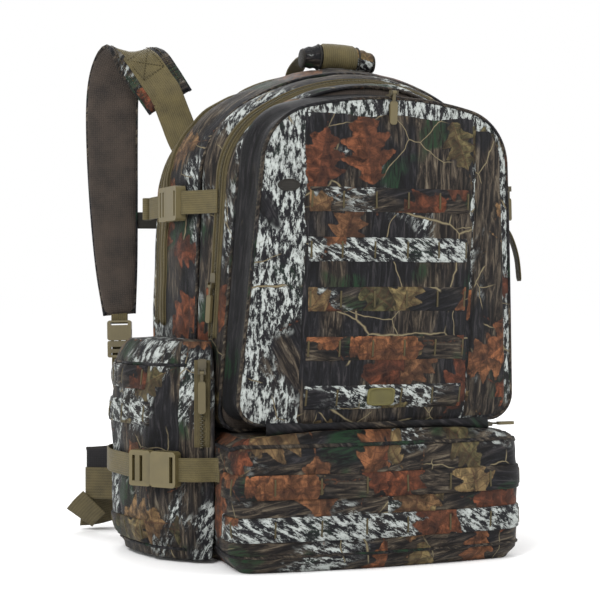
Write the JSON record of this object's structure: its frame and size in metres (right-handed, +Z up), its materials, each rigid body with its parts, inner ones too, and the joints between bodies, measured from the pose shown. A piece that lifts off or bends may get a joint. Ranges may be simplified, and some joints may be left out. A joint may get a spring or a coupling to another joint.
{
  "type": "hunting backpack",
  "caption": "Large camouflage hunting backpack with zipped compartments, webbing rows, a side pocket, compression straps, shoulder straps and a hip belt.",
  "frame": {"origin": "on the floor under the pack, at the centre of its width and the seam of its base", "axes": "+Z up, -Y the front pockets, +Y the wearer's back, +X the pack's right seen from the front"},
  "size_m": [0.5548, 0.3939, 0.5806],
  "materials": {
    "camo_fabric": "printed 600-denier polyester, matt",
    "webbing": "coyote woven nylon webbing",
    "lining": "dark brushed mesh lining",
    "zip_tape": "coyote coil zip",
    "buckle_plastic": "moulded acetal",
    "slider_metal": "painted zinc",
    "patch_rubber": "soft rubber patch",
    "sheet_plastic": "stiff polyethylene sheet",
    "sleeve_fabric": "coated nylon"
  },
  "bodies": {
    "pack": {"main_compartment": "camo_fabric", "mid_compartment": "camo_fabric", "front_pocket_gusset": "camo_fabric", "lower_pocket": "camo_fabric", "side_pocket": "camo_fabric", "back_pads": "lining", "frame_sheet": "sheet_plastic", "hydration_sleeve": "sleeve_fabric", "lower_webbing": "camo_fabric", "side_webbing": "camo_fabric", "compression_webbing": "webbing", "compression_buckle_females": "buckle_plastic", "rear_zip": "zip_tape", "mid_zip": "zip_tape", "pocket_zips": "zip_tape"},
    "front_panel": {"front_panel": "camo_fabric", "front_zip": "zip_tape", "front_webbing": "camo_fabric", "front_patches": "patch_rubber"},
    "handle": {"handle_grip": "camo_fabric", "handle_webbing": "webbing"},
    "strap_left": {"shoulder_pad_left": "camo_fabric", "strap_webbing_left": "webbing", "strap_buckle_female_left": "buckle_plastic", "sternum_strap_left": "webbing"},
    "strap_buckle_left": {"strap_buckle_male_left": "buckle_plastic"},
    "strap_right": {"shoulder_pad_right": "camo_fabric", "strap_webbing_right": "webbing", "strap_buckle_female_right": "buckle_plastic", "sternum_strap_right": "webbing"},
    "strap_buckle_right": {"strap_buckle_male_right": "buckle_plastic"},
    "compression_upper_left": {"compression_buckle_male_upper_left": "buckle_plastic"},
    "compression_lower_left": {"compression_buckle_male_lower_left": "buckle_plastic"},
    "compression_upper_right": {"compression_buckle_male_upper_right": "buckle_plastic"},
    "compression_lower_right": {"compression_buckle_male_lower_right": "buckle_plastic"},
    "belt_left": {"belt_wing_left": "lining", "belt_webbing_left": "webbing", "belt_buckle_female": "buckle_plastic"},
    "belt_right": {"belt_wing_right": "lining", "belt_webbing_right": "webbing", "belt_buckle_male": "buckle_plastic"},
    "slider_rear_top": {"slider_rear_top": "slider_metal"},
    "pull_rear_top": {"pull_rear_top": "buckle_plastic"},
    "slider_rear_right": {"slider_rear_right": "slider_metal"},
    "pull_rear_right": {"pull_rear_right": "buckle_plastic"},
    "slider_mid_left": {"slider_mid_left": "slider_metal"},
    "pull_mid_left": {"pull_mid_left": "buckle_plastic"},
    "slider_mid_right": {"slider_mid_right": "slider_metal"},
    "pull_mid_right": {"pull_mid_right": "buckle_plastic"},
    "slider_front_top": {"slider_front_top": "slider_metal"},
    "pull_front_top": {"pull_front_top": "buckle_plastic"},
    "slider_front_right": {"slider_front_right": "slider_metal"},
    "pull_front_right": {"pull_front_right": "buckle_plastic"},
    "slider_lower": {"slider_lower": "slider_metal"},
    "pull_lower": {"pull_lower": "buckle_plastic"},
    "slider_side": {"slider_side": "slider_metal"},
    "pull_side": {"pull_side": "buckle_plastic"}
  },
  "joints": [
    {"name": "front_panel_hinge", "type": "hinge", "parent": "pack", "child": "front_panel", "pos_m": [0, -0.146, 0.15], "axis": [1, 0, 0], "range_deg": [0, 75]},
    {"name": "handle_lift", "type": "hinge", "parent": "pack", "child": "handle", "pos_m": [0, 0.066, 0.5275], "axis": [-1, 0, 0], "range_deg": [0, 110]},
    {"name": "strap_left_swing", "type": "hinge", "parent": "pack", "child": "strap_left", "pos_m": [-0.128, 0.093, 0.43], "axis": [0.2019, -0.0684, 0.977], "range_deg": [-40, 25]},
    {"name": "strap_buckle_left_release", "type": "slide", "parent": "strap_left", "child": "strap_buckle_left", "axis": [0, -0.0599, -0.9982], "range_m": [0, 0.025]},
    {"name": "strap_right_swing", "type": "hinge", "parent": "pack", "child": "strap_right", "pos_m": [0.128, 0.093, 0.43], "axis": [-0.2019, -0.0684, 0.977], "range_deg": [-30, 5]},
    {"name": "strap_buckle_right_release", "type": "slide", "parent": "strap_right", "child": "strap_buckle_right", "axis": [0.0986, -0.138, -0.9855], "range_m": [0, 0.025]},
    {"name": "compression_upper_left_release", "type": "slide", "parent": "pack", "child": "compression_upper_left", "axis": [-0.1117, 0.9937, 0], "range_m": [0, 0.03]},
    {"name": "compression_lower_left_release", "type": "slide", "parent": "pack", "child": "compression_lower_left", "axis": [-0.695, 0.719, 0], "range_m": [0, 0.03]},
    {"name": "compression_upper_right_release", "type": "slide", "parent": "pack", "child": "compression_upper_right", "axis": [0.1117, 0.9937, 0], "range_m": [0, 0.03]},
    {"name": "compression_lower_right_release", "type": "slide", "parent": "pack", "child": "compression_lower_right", "axis": [0.1117, 0.9937, 0], "range_m": [0, 0.03]},
    {"name": "belt_left_swing", "type": "hinge", "parent": "pack", "child": "belt_left", "pos_m": [-0.128, 0.127, 0.07], "axis": [0, 0, 1], "range_deg": [-45, 0]},
    {"name": "belt_right_swing", "type": "hinge", "parent": "pack", "child": "belt_right", "pos_m": [0.128, 0.127, 0.07], "axis": [0, 0, 1], "range_deg": [0, 45]},
    {"name": "slider_rear_top_travel", "type": "hinge", "parent": "pack", "child": "slider_rear_top", "pos_m": [0, 0.07069, 0.26287], "axis": [0, -0.9954, -0.0958], "range_deg": [-12, 12]},
    {"name": "pull_rear_top_flip", "type": "hinge", "parent": "slider_rear_top", "child": "pull_rear_top", "pos_m": [0, 0.04225, 0.53114], "axis": [-1, 0, 0], "range_deg": [0, 100]},
    {"name": "slider_rear_right_travel", "type": "slide", "parent": "pack", "child": "slider_rear_right", "axis": [0, 0.0958, -0.9954], "range_m": [-0.018, 0.05]},
    {"name": "pull_rear_right_flip", "type": "hinge", "parent": "slider_rear_right", "child": "pull_rear_right", "pos_m": [0.19484, 0.06338, 0.33341], "axis": [-0.108, -0.9896, -0.0953], "range_deg": [0, 100]},
    {"name": "slider_mid_left_travel", "type": "slide", "parent": "pack", "child": "slider_mid_left", "axis": [-0.0315, 0.0958, -0.9949], "range_m": [-0.05, 0.01]},
    {"name": "pull_mid_left_flip", "type": "hinge", "parent": "slider_mid_left", "child": "pull_mid_left", "pos_m": [-0.16495, -0.0679, 0.29363], "axis": [-0.338, 0.9357, 0.1008], "range_deg": [0, 100]},
    {"name": "slider_mid_right_travel", "type": "slide", "parent": "pack", "child": "slider_mid_right", "axis": [0.0315, 0.0958, -0.9949], "range_m": [-0.02, 0.045]},
    {"name": "pull_mid_right_flip", "type": "hinge", "parent": "slider_mid_right", "child": "pull_mid_right", "pos_m": [0.16396, -0.07088, 0.32348], "axis": [-0.3599, -0.9275, -0.1007], "range_deg": [0, 100]},
    {"name": "slider_front_top_travel", "type": "hinge", "parent": "front_panel", "child": "slider_front_top", "pos_m": [0, -0.12169, 0.11097], "axis": [0, -0.9954, -0.0958], "range_deg": [-8, 8]},
    {"name": "pull_front_top_flip", "type": "hinge", "parent": "slider_front_top", "child": "pull_front_top", "pos_m": [0, -0.17902, 0.49255], "axis": [-1, 0, 0], "range_deg": [0, 100]},
    {"name": "slider_front_right_travel", "type": "slide", "parent": "front_panel", "child": "slider_front_right", "axis": [0.0757, 0.0956, -0.9925], "range_m": [0, 0.11]},
    {"name": "pull_front_right_flip", "type": "hinge", "parent": "slider_front_right", "child": "pull_front_right", "pos_m": [0.14303, -0.15227, 0.39725], "axis": [0, -0.9954, -0.0958], "range_deg": [0, 100]},
    {"name": "slider_lower_travel", "type": "slide", "parent": "pack", "child": "slider_lower", "axis": [1, 0, 0], "range_m": [-0.22, 0]},
    {"name": "pull_lower_flip", "type": "hinge", "parent": "slider_lower", "child": "pull_lower", "pos_m": [0.133, -0.128, 0.1446], "axis": [0, -1, 0], "range_deg": [0, 10]},
    {"name": "slider_side_travel", "type": "slide", "parent": "pack", "child": "slider_side", "axis": [0, 0, -1], "range_m": [0, 0.04]},
    {"name": "pull_side_flip", "type": "hinge", "parent": "slider_side", "child": "pull_side", "pos_m": [-0.17854, -0.08418, 0.203], "axis": [-0.9524, 0.3048, 0], "range_deg": [0, 100]}
  ]
}
